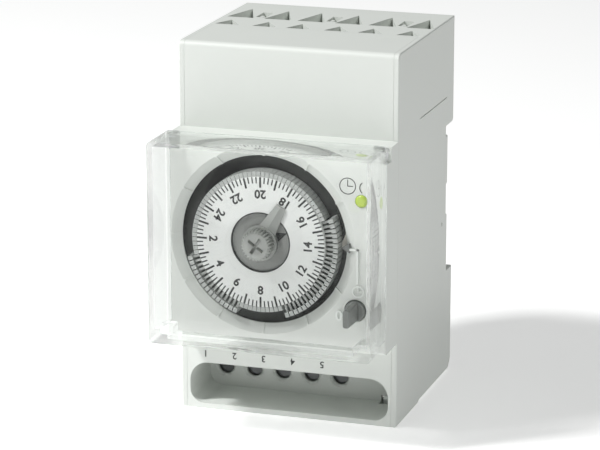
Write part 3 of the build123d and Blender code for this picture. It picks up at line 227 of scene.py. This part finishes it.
# %% [markdown]
# ## Shader maths as plain expressions
# A wrapped socket lets a pattern be written as arithmetic, such as flow * 0.6 + fine * 0.4, and each
# expression adds its own Math nodes. One method makes any other node: its type, its settings, then its
# inputs.

# %% The socket wrapper and the material maker
class Wire:
    """A shader socket that can be used in arithmetic."""

    def __init__(self, shader, socket):
        self.shader = shader
        self.socket = socket

    def _math(self, operation, left, right=None):
        inputs = {0: left} if right is None else {0: left, 1: right}
        return self.shader.node("ShaderNodeMath", {"operation": operation}, inputs)

    def __add__(self, other):
        return self._math("ADD", self, other)

    __radd__ = __add__

    def __sub__(self, other):
        return self._math("SUBTRACT", self, other)

    def __mul__(self, other):
        return self._math("MULTIPLY", self, other)

    __rmul__ = __mul__


class Shader:
    """One material's nodes around a Principled shader."""

    def __init__(self, name, **constants):
        self.material = bpy.data.materials.new(name)
        self.material.use_nodes = True
        self.tree = self.material.node_tree
        self.principled = self.tree.nodes["Principled BSDF"]
        for socket, value in constants.items():
            self.principled.inputs[socket.replace("_", " ")].default_value = value

    def node(self, kind, settings=None, inputs=None, out=0):
        """Add any node: settings first, then values or links of its sockets."""
        made = self.tree.nodes.new(kind)
        for key, value in (settings or {}).items():
            setattr(made, key, value)
        for socket, value in (inputs or {}).items():
            if isinstance(value, Wire):
                self.tree.links.new(value.socket, made.inputs[socket])
            else:
                made.inputs[socket].default_value = value
        return Wire(self, made.outputs[out])

    def place(self, scale=1.0):
        """Object coordinates, in millimetres times a scale."""
        spot = self.node("ShaderNodeTexCoord", out="Object")
        return self.node("ShaderNodeVectorMath", {"operation": "SCALE"}, {0: spot, "Scale": 1000 * scale})

    def noise(self, scale, detail=3.0, roughness=0.55):
        """Noise with features about 1/scale mm wide."""
        return self.node("ShaderNodeTexNoise", None,
                         {"Vector": self.place(), "Scale": scale, "Detail": detail, "Roughness": roughness})

    def blend(self, factor, low, high):
        """Mix two colours by a factor."""
        return self.node("ShaderNodeMix", {"data_type": "RGBA"}, {0: factor, 6: low, 7: high}, out=2)

    def spread(self, value, low, high, start=0.0, end=1.0):
        """Spread a value between start and end over a range."""
        return self.node("ShaderNodeMapRange", None, {"Value": value, "From Min": start, "From Max": end,
                                                      "To Min": low, "To Max": high})

    def feed(self, socket, wire):
        self.tree.links.new(wire.socket, self.principled.inputs[socket])

    def bump(self, height, strength, distance):
        """Raise or lower the surface by a height pattern, in mm."""
        made = self.node("ShaderNodeBump", None,
                         {"Height": height, "Strength": strength, "Distance": distance * MM})
        self.feed("Normal", made)


def grey(value, tint=(1.0, 1.0, 1.0)):
    """A colour from one lightness and a slight tint."""
    return (value * tint[0], value * tint[1], value * tint[2], 1.0)


COOL = (0.965, 1.0, 0.965)


def moulded(name, value, tint=COOL, roughness=0.5, grain=0.012, grain_scale=9.0, variation=0.03, **constants):
    """Moulded plastic: a fine eroded grain, a faint flow variation and a few duller patches."""
    shader = Shader(name, **constants)
    flow = shader.noise(0.11, 2.0)
    fine = shader.noise(grain_scale, 2.0, 0.6)
    darker = grey(value * (1 - variation), tint)
    lighter = grey(value * (1 + variation), tint)
    shader.feed("Base Color", shader.blend(shader.spread(flow, 0, 1), darker, lighter))
    shader.feed("Roughness", shader.spread(flow * 0.6 + fine * 0.4, roughness - 0.07, roughness + 0.07))
    shader.bump(fine, 0.55, grain)
    return shader.material


def metal(name, colour, roughness=0.3, brush_scale=6.0):
    """Drawn or rolled metal: long fine scratches along one way, and slight stains."""
    shader = Shader(name, Metallic=1.0)
    spot = shader.place()
    stretched = shader.node("ShaderNodeVectorMath", {"operation": "MULTIPLY"}, {0: spot, 1: (1.0, 1.0, 0.06)})
    brush = shader.node("ShaderNodeTexNoise", None,
                        {"Vector": stretched, "Scale": brush_scale, "Detail": 4.0})
    stain = shader.noise(0.4)
    shade = tuple(c * 0.82 for c in colour)
    shader.feed("Base Color", shader.blend(shader.spread(stain, 0, 1), (*shade, 1), (*colour, 1)))
    shader.feed("Roughness", shader.spread(brush * 0.6 + stain * 0.4, roughness - 0.1, roughness + 0.15))
    shader.bump(brush, 0.3, 0.01)
    return shader.material

# %% [markdown]
# ## Finishes of the moulded parts
# The housing is a light grey thermoplastic with a very fine matt grain. The knob and the hub disc are a
# darker grey, the segment carrier is nearly black, and the segments are a smooth off-white. Each has its own
# grain size and gloss, which tells the parts apart even where their greys are close.

# %% Moulded plastics
housing_grey = moulded("housing_grey", 0.74, (0.965, 1.0, 0.955), 0.46, 0.010, 7.0, 0.012)
latch_grey = moulded("latch_grey", 0.42, COOL, 0.42, 0.010, 8.0)
dial_white = moulded("dial_white", 0.80, (0.975, 1.0, 0.975), 0.38, 0.004, 6.0, 0.01)
segment_white = moulded("segment_white", 0.46, (0.96, 1.0, 0.965), 0.30, 0.004, 5.0, 0.05, Coat_Weight=0.2)
carrier_black = moulded("carrier_black", 0.010, (1, 1.05, 1.0), 0.55, 0.008)
hub_grey = moulded("hub_grey", 0.27, (0.96, 1.0, 0.95), 0.42, 0.006)
hand_grey = moulded("hand_grey", 0.36, (0.96, 1.0, 0.95), 0.40, 0.006)
knob_grey = moulded("knob_grey", 0.42, (0.965, 1.0, 0.95), 0.36, 0.006)
selector_grey = moulded("selector_grey", 0.20, (0.95, 1.0, 0.95), 0.36, 0.010)
marker_grey = moulded("marker_grey", 0.16, COOL, 0.4, 0.006)
# The hook's own white, which the moulded panel signs also wear as a painted highlight.
hook_white_and_painted_highlight = moulded("hook_white_and_painted_highlight", 0.85, COOL, 0.35, 0.004)
acetal = moulded("acetal", 0.70, (1.0, 0.97, 0.88), 0.35, 0.004)
case_black = moulded("case_black", 0.02, (1, 1, 1), 0.4, 0.008)
sleeve_blue = moulded("sleeve_blue", 0.20, (0.35, 0.75, 1.7), 0.3, 0.004)
board_green = moulded("board_green", 0.12, (0.35, 1.6, 0.6), 0.3, 0.01, 3.0)
magnet_dark = moulded("magnet_dark", 0.04, (1, 1, 1.02), 0.5, 0.02, 4.0)
winding = metal("winding", (0.72, 0.32, 0.14), 0.35, 12.0)
steel = metal("steel", (0.60, 0.61, 0.62), 0.28)
dark_steel = metal("dark_steel", (0.20, 0.205, 0.21), 0.38)
plated_sheet = metal("plated_sheet", (0.68, 0.69, 0.68), 0.35, 4.0)
brass = metal("brass", (0.80, 0.58, 0.25), 0.26, 9.0)
print("plastics and metals:", len(bpy.data.materials))

# %% [markdown]
# ## Clear and glowing parts
# The cover is clear polycarbonate with real walls, so light bends in it and its moulded edges show as
# bright and dark lines. Seen square on it all but vanishes, and at a slant it reflects more, so its alpha
# follows the slant. The lamp is a green moulding that glows a little.

# %% Clear polycarbonate and the lamp's green
SLANT_START = 0.12
SLANT_END = 0.7


def clear_plastic(name, face_alpha, edge_alpha, tint):
    """Clear plastic: nearly unseen square on, stronger at a slant, with faint smears."""
    shader = Shader(name, Base_Color=(*tint, 1), IOR=1.58, Transmission_Weight=1.0)
    slant = shader.node("ShaderNodeLayerWeight", None, {"Blend": 0.4}, out="Facing")
    smear = shader.noise(0.35, 3.0)
    shader.feed("Alpha", shader.spread(slant, face_alpha, edge_alpha, SLANT_START, SLANT_END))
    shader.feed("Roughness", shader.spread(smear, 0.0, 0.05))
    return shader.material


cover_clear = clear_plastic("cover_clear", 0.04, 0.75, (0.74, 0.78, 0.75))
lamp_green = Shader("lamp_green", Roughness=0.18, Coat_Weight=0.6, Emission_Strength=0.04)
glow = lamp_green.noise(0.8, 1.0)
lamp_colour = lamp_green.blend(lamp_green.spread(glow, 0, 1), (0.36, 0.52, 0.03, 1), (0.50, 0.64, 0.07, 1))
lamp_green.feed("Base Color", lamp_colour)
lamp_green.feed("Emission Color", lamp_colour)
lamp_green = lamp_green.material
ink = Shader("ink", Base_Color=(0.012, 0.013, 0.013, 1), Roughness=0.45)
ink.bump(ink.noise(14.0), 0.3, 0.004)
ink = ink.material
print("clear and glowing:", cover_clear.name, lamp_green.name, ink.name)

# %% [markdown]
# ## Dress the CAD nodes
# A node whose shape is already right keeps it and only takes a finish. The table reads like a parts list.

# %% Finishes of the kept nodes
FINISHES = {
    housing_grey: ["base_housing", "front_hood"],
    latch_grey: ["rail_latch"],
    dial_white: ["dial_plate"],
    segment_white: ["segments_on", "segments_off"] + [f"segment_{i}" for i in range(1, 9)],
    carrier_black: ["segment_carrier"],
    hub_grey: ["hub_disc"],
    hand_grey: ["minute_hand"],
    knob_grey: ["setting_knob"],
    selector_grey: ["selector_knob", "selector_cam"],
    marker_grey: ["time_marker"],
    hook_white_and_painted_highlight: ["hood_hook"],
    acetal: ["dial_wheel", "motion_wheel", "minute_wheel", "motor_pinion", "feeler_lever"],
    case_black: ["microswitch_case", "microswitch_plunger", "board_posts", "controller_chip"],
    sleeve_blue: ["power_capacitor", "reserve_battery"],
    board_green: ["circuit_board"],
    magnet_dark: ["motor_rotor"],
    winding: ["motor_coil"],
    steel: ["cover_hinge_pins", "motion_stud", "feeler_pivot", "arbor_clip", "plate_screws", "latch_spring",
            "selector_detent", "quartz_crystal"],
    dark_steel: ["terminal_screws"],
    plated_sheet: ["chassis_plate", "motor_can", "terminal_clamps"],
    brass: ["minute_arbor", "arbor_bush", "terminal_bars", "microswitch_contacts"],
    lamp_green: ["light_pipe", "status_led"],
    cover_clear: ["clear_cover"],
}
for finish, names in FINISHES.items():
    for name in names:
        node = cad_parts[name]
        node.data.materials.clear()
        node.data.materials.append(finish)
        for face in node.data.polygons:
            face.material_index = 0
print("finished nodes:", sum(len(names) for names in FINISHES.values()), "of", len(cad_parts))

# %% [markdown]
# ## Print on the dial
# The scale is pad-printed in black: a long tick for each hour, three short ones between, and every second
# hour's number with its top towards the middle. Ticks and numbers are thin raised prints, so they are real
# shapes in every view.

# %% Ticks of the scale
PRINT = 0.03 * MM
TICK_OUT = plate_radius - 0.04 * MM
HOUR_LONG = 2.5 * MM
HOUR_WIDE = 0.46 * MM
QUARTER_LONG = 1.5 * MM
QUARTER_WIDE = 0.30 * MM


def dial_spot(radius, angle, depth):
    """A point on the dial from its radius and angle, seen from the front."""
    return Vector((dial_x + radius * cos(angle), depth, dial_z + radius * sin(angle)))


def tick(angle, inner, outer, width, depth):
    """One printed bar along a radius."""
    piece = block("tick", (inner, depth - PRINT, -width / 2), (outer, depth, width / 2))
    piece.data.transform(Matrix.Translation((dial_x, 0, dial_z)) @ Matrix.Rotation(-angle, 4, "Y"))
    return piece


ticks = []
for number in range(SEGMENTS):
    length, width = (QUARTER_LONG, QUARTER_WIDE) if number % 4 else (HOUR_LONG, HOUR_WIDE)
    ticks.append(tick(number * PITCH, TICK_OUT - length, TICK_OUT, width, plate_face))
hand_over(join("dial_ticks", ticks), "dial", ink)

# %% Numbers of the scale
def lettering(name, text, size, spot, turn, thick=PRINT, font_offset=0.0):
    """Flat text facing the front, turned about its own middle, made a thin mesh."""
    bpy.ops.object.select_all(action="DESELECT")
    bpy.ops.object.text_add()
    made = bpy.context.object
    made.data.body = text
    made.data.size = size
    made.data.align_x = "CENTER"
    made.data.align_y = "CENTER"
    made.data.extrude = thick / 2
    made.data.offset = font_offset
    made.data.resolution_u = 5
    only(made)
    bpy.ops.object.convert(target="MESH")
    made.rotation_euler = (pi / 2, 0, 0)
    settle(made)
    low = Vector([min(v.co[i] for v in made.data.vertices) for i in range(3)])
    high = Vector([max(v.co[i] for v in made.data.vertices) for i in range(3)])
    made.data.transform(Matrix.Translation(-(low + high) / 2))
    made.data.transform(Matrix.Translation(spot) @ Matrix.Rotation(-turn, 4, "Y"))
    made.name = made.data.name = name
    return made


NUMBER_RADIUS = 11.6 * MM
NUMBER_SIZE = 2.8 * MM
NUMBER_BOLD = 0.085 * MM
RIGHT_HOUR = 14
numbers = []
for hour in range(2, 25, 2):
    angle = (hour - RIGHT_HOUR) * PITCH * 4
    spot = dial_spot(NUMBER_RADIUS, angle, plate_face - PRINT / 2)
    numbers.append(lettering("number", str(hour), NUMBER_SIZE, spot, angle + pi / 2, font_offset=NUMBER_BOLD))
hand_over(join("dial_numbers", numbers), "dial", ink)

# %% [markdown]
# ## Black marks on the hub
# A fine black line marks the edge of the hub disc, and a black triangle sits on the disc right of the hand.
# Both are thin raised pieces in the print's black: a ring made by inset and bridge, and a three-sided rod.

# %% Ring and triangle on the hub
RING_LINE = 0.16 * MM
hub_line = ring("hub_line", hub_radius - RING_LINE / 2, hub_radius + RING_LINE, plate_face - PRINT, hub_face,
                dial_x, dial_z)
hand_over(hub_line, "dial", ink)
# A thin black triangle on the hub disc, right of the hand, given by three corners in mm from the dial's
# middle.
TRIANGLE_CORNERS = [(3.5, 2.6), (6.4, 2.6), (4.3, 0.45)]
bpy.ops.object.select_all(action="DESELECT")
bpy.ops.mesh.primitive_cylinder_add(vertices=3, radius=MM, depth=PRINT, rotation=(pi / 2, 0, 0))
hub_triangle = settle(bpy.context.object)
for vertex in hub_triangle.data.vertices:
    across, up = TRIANGLE_CORNERS[vertex.index // 2]
    vertex.co.x = dial_x + across * MM
    vertex.co.z = dial_z + up * MM
    vertex.co.y += hub_face - PRINT / 2
hub_triangle.name = hub_triangle.data.name = "hub_triangle"
hand_over(outward(hub_triangle), "dial", ink)

# %% [markdown]
# ## Minute hand and setting knob
# The hand is one moulding with a round collar and a blade with two sloping facets, so one side catches the
# light and the other lies in shade. The knob presses on the same arbor. Its rim is knurled: the corners of a
# many-sided rod go in and out in pairs, and the front is inset and pushed out, which slopes every tooth.

# %% Minute hand
HAND_TURN = radians(60)
HAND_LENGTH = 10.5 * MM
BLADE_ROOT = 2.6 * MM
ROOT_HALF = 2.35 * MM
TIP_HALF = 1.2 * MM
EDGE_SHARE = 0.25
ARBOR_RADIUS = 1.5 * MM
COLLAR_MARGIN = 0.5 * MM
COLLAR_ROUND = 0.15 * MM
knob_radius = knob_high.x - dial_x
hand_thick = hand_high.y - hand_low.y
blade = block("blade", (dial_x + BLADE_ROOT, hand_low.y, dial_z - ROOT_HALF),
              (dial_x + HAND_LENGTH, hand_high.y, dial_z + ROOT_HALF))
only(blade)
bpy.ops.object.mode_set(mode="EDIT")
bpy.ops.mesh.select_all(action="SELECT")
bpy.ops.mesh.bisect(plane_co=(0, 0, dial_z), plane_no=(0, 0, 1))
bpy.ops.object.mode_set(mode="OBJECT")
for vertex in blade.data.vertices:
    side = vertex.co.z - dial_z
    if abs(side) > ROOT_HALF / 2 and vertex.co.y < hand_low.y + hand_thick / 2:
        vertex.co.y = hand_high.y - EDGE_SHARE * hand_thick
    if vertex.co.x > dial_x + HAND_LENGTH / 2:
        vertex.co.z = dial_z + side * TIP_HALF / ROOT_HALF
turn_about(blade, dial_x, dial_z, HAND_TURN)
collar = ring("collar", ARBOR_RADIUS, knob_radius + COLLAR_MARGIN, hand_low.y, hand_high.y, dial_x, dial_z)
soften(collar, COLLAR_ROUND)
hand_piece = smooth(outward(join("hand_piece", [collar, blade])), 25)
hand_over(hand_piece, "hand", hand_grey, ["minute_hand"])

# %% Setting knob
TEETH = 28
SIDES = 4 * TEETH
VALLEY = 0.88
RIM_SLOPE = 0.5 * MM
RIM_WIDE = 0.75 * MM
CROSS_TURNS = (radians(-35), radians(57))
CROSS_LONG = 4.3 * MM
CROSS_WIDE = 0.8 * MM
CROSS_DEEP = 1.2 * MM
FINE_ROUND = 0.05 * MM
knob = rod("knob", knob_radius, knob_low.y + RIM_SLOPE, knob_high.y, dial_x, dial_z, SIDES)
pick_faces(knob, lambda face: face.normal.y < -0.9)
bpy.ops.mesh.inset(thickness=RIM_WIDE)
bpy.ops.transform.translate(value=(0, -RIM_SLOPE, 0))
bpy.ops.object.mode_set(mode="OBJECT")
for vertex in knob.data.vertices:
    across, up = vertex.co.x - dial_x, vertex.co.z - dial_z
    step = round(atan2(up, across) / (2 * pi / SIDES)) % 4
    if hypot(across, up) > 0.95 * knob_radius and step > 1:
        vertex.co.x = dial_x + across * VALLEY
        vertex.co.z = dial_z + up * VALLEY
arms = []
for turn in CROSS_TURNS:
    arm = block("arm", (dial_x - CROSS_LONG / 2, knob_low.y - CROSS_DEEP, dial_z - CROSS_WIDE / 2),
                (dial_x + CROSS_LONG / 2, knob_low.y + CROSS_DEEP, dial_z + CROSS_WIDE / 2))
    arms.append(turn_about(arm, dial_x, dial_z, turn))
cut(knob, arms)
soften(knob, FINE_ROUND, 2, 40)
hand_over(smooth(outward(knob), 30), "hand", knob_grey, ["setting_knob"])

# %% [markdown]
# ## Signs on the panel
# Two kinds of sign: a clock and a contact sign are printed in black, and a leader line, a small clock and
# an off mark by the selector are moulded proud, with their highlights painted on as a white finish. Strokes
# are thin bars, and each clock is a ring with two strokes for its hands. All of them are generic.

# %% Strokes and clocks
LONG_HAND = 0.75
SHORT_HAND = 0.6


def stroke(start, end, width, face, proud):
    """A bar between two spots of the panel, given in mm across and up."""
    (x0, z0), (x1, z1) = start, end
    length = hypot(x1 - x0, z1 - z0) * MM + width
    x, z = (x0 + x1) / 2 * MM, (z0 + z1) / 2 * MM
    piece = block("stroke", (x - length / 2, face - proud, z - width / 2),
                  (x + length / 2, face, z + width / 2))
    return turn_about(piece, x, z, atan2(z1 - z0, x1 - x0))


def clock(x, z, radius, width, face, proud):
    """A clock sign: a ring, a hand straight up and a hand to the right."""
    rim = ring("rim", radius * MM - width / 2, radius * MM + width / 2, face - proud, face,
               x * MM, z * MM, 48)
    return [rim, stroke((x, z), (x, z + LONG_HAND * radius), width, face, proud),
            stroke((x, z), (x + SHORT_HAND * radius, z), width, face, proud)]


def arc_points(x, z, radius, start, end, steps):
    """Spots along an arc, in mm and degrees."""
    turns = [radians(start + (end - start) * i / steps) for i in range(steps + 1)]
    return [(x + radius * cos(turn), z + radius * sin(turn)) for turn in turns]


def chain(points, width, face, proud):
    """Strokes through a row of spots."""
    return [stroke(a, b, width, face, proud) for a, b in zip(points, points[1:])]


# %% Printed signs
FINE = 0.2 * MM
CONTACT_ARM = [(23.2, 13.9), (23.2, 14.8), (24.3, 16.5)]
CONTACT_END = [(24.4, 15.5), (24.4, 16.6)]
printed = clock(17.6, 15.4, 1.9, FINE, panel_face, PRINT)
for spots in (arc_points(22.0, 15.2, 1.5, 130, 230, 5), CONTACT_ARM, CONTACT_END):
    printed += chain(spots, FINE, panel_face, PRINT)
hand_over(join("printed_signs", printed), "housing", ink)

# %% Moulded signs
PROUD = 0.4 * MM
LEADER = [(18.4, 0.3), (20.1, 0.3), (20.1, -7.6)]
LEADER_WIDE = 0.5 * MM
CLOCK_WIDE = 0.36 * MM
OFF_SPOT = Vector((15.7 * MM, panel_face - PROUD / 2, -15.8 * MM))
OFF_SIZE = 3.4 * MM
OFF_BOLD = 0.08 * MM
moulded_signs = chain(LEADER, LEADER_WIDE, panel_face, PROUD)
moulded_signs += clock(20.3, -9.7, 1.3, CLOCK_WIDE, panel_face, PROUD)
moulded_signs.append(lettering("off_mark", "0", OFF_SIZE, OFF_SPOT, 0, PROUD, OFF_BOLD))
panel_signs = join("moulded_signs", moulded_signs)
# The white finish on the moulded signs is a painted highlight: the signs are moulded in the housing's grey.
hand_over(soften(panel_signs, FINE_ROUND, 2, 50), "housing", hook_white_and_painted_highlight)

# %% [markdown]
# ## Terminal numbers
# Each terminal has a plain number printed above its screw, on the face of the lower shoulder.

# %% Numbers over the terminals
TERMINALS = 5
LABEL_Z = -31.6 * MM
LABEL_SIZE = 2.3 * MM
LABEL_BOLD = 0.03 * MM
sink_low, sink_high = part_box("terminal_screws")
screw_radius = (sink_high.z - sink_low.z) / 2
first_screw = sink_low.x + screw_radius
screw_pitch = (sink_high.x - sink_low.x - 2 * screw_radius) / (TERMINALS - 1)
labels = []
for terminal in range(TERMINALS):
    spot = Vector((first_screw + terminal * screw_pitch, shoulder_face - PRINT / 2, LABEL_Z))
    labels.append(lettering("label", str(terminal + 1), LABEL_SIZE, spot, pi, font_offset=LABEL_BOLD))
hand_over(join("terminal_numbers", labels), "housing", ink)

# %% [markdown]
# ## Camera, floor and light
# The view is the product view: a long lens, a little to the right of the front and a little above. The
# floor and the background are one plain white surface. One soft key light from the upper left shapes the
# front, and the pale floor lifts the shaded side.

# %% Camera
AZIMUTH = radians(17.93)
ELEVATION = radians(15.18)
DISTANCE = 712.4 * MM
TARGET = Vector((-3.15, -25.0, -2.97)) * MM
back = Vector((sin(AZIMUTH) * cos(ELEVATION), -cos(AZIMUTH) * cos(ELEVATION), sin(ELEVATION)))
camera_data = bpy.data.cameras.new("camera")
camera = bpy.data.objects.new("camera", camera_data)
bpy.context.scene.collection.objects.link(camera)
camera.location = TARGET + back * DISTANCE
camera.rotation_euler = back.to_track_quat("Z", "Y").to_euler()
camera_data.sensor_width = 36.0
camera_data.lens = 176.1
camera_data.clip_start = 0.01
bpy.context.scene.camera = camera
print("camera at", [round(v, 4) for v in camera.location])

# %% Floor and light
FLOOR_SIZE = 6.0
FLOOR_GAP = 0.02 * MM
FLOOR_GLOW = 0.36
STUDIO_COLOUR = (0.98, 1.0, 0.985, 1)
STUDIO_STRENGTH = 0.29
KEY_SPOT = (-0.54, -0.46, 0.80)
KEY_AIM = (0, -0.03, 0)
KEY_SIZE = 0.13
KEY_POWER = 10.0
bpy.ops.object.select_all(action="DESELECT")
bpy.ops.mesh.primitive_plane_add(size=FLOOR_SIZE, location=(0, 0, cad_low.z - FLOOR_GAP))
floor = settle(bpy.context.object)
floor.name = "floor"
floor_white = Shader("floor_white", Roughness=0.6, Emission_Color=(1, 1, 1, 1), Emission_Strength=FLOOR_GLOW)
floor_white.feed("Base Color", floor_white.blend(floor_white.noise(0.01), grey(0.94), grey(0.96)))
floor.data.materials.append(floor_white.material)

world = bpy.data.worlds.new("studio")
bpy.context.scene.world = world
world.use_nodes = True
world.node_tree.nodes["Background"].inputs["Color"].default_value = STUDIO_COLOUR
world.node_tree.nodes["Background"].inputs["Strength"].default_value = STUDIO_STRENGTH
bpy.context.scene.view_settings.view_transform = "Standard"


def soft_light(name, spot, aim, size, power):
    """A square area light aimed at a point."""
    data = bpy.data.lights.new(name, "AREA")
    data.size = size
    data.energy = power
    lamp = bpy.data.objects.new(name, data)
    bpy.context.scene.collection.objects.link(lamp)
    lamp.location = spot
    lamp.rotation_euler = (Vector(spot) - Vector(aim)).to_track_quat("Z", "Y").to_euler()


soft_light("key", KEY_SPOT, KEY_AIM, KEY_SIZE, KEY_POWER)
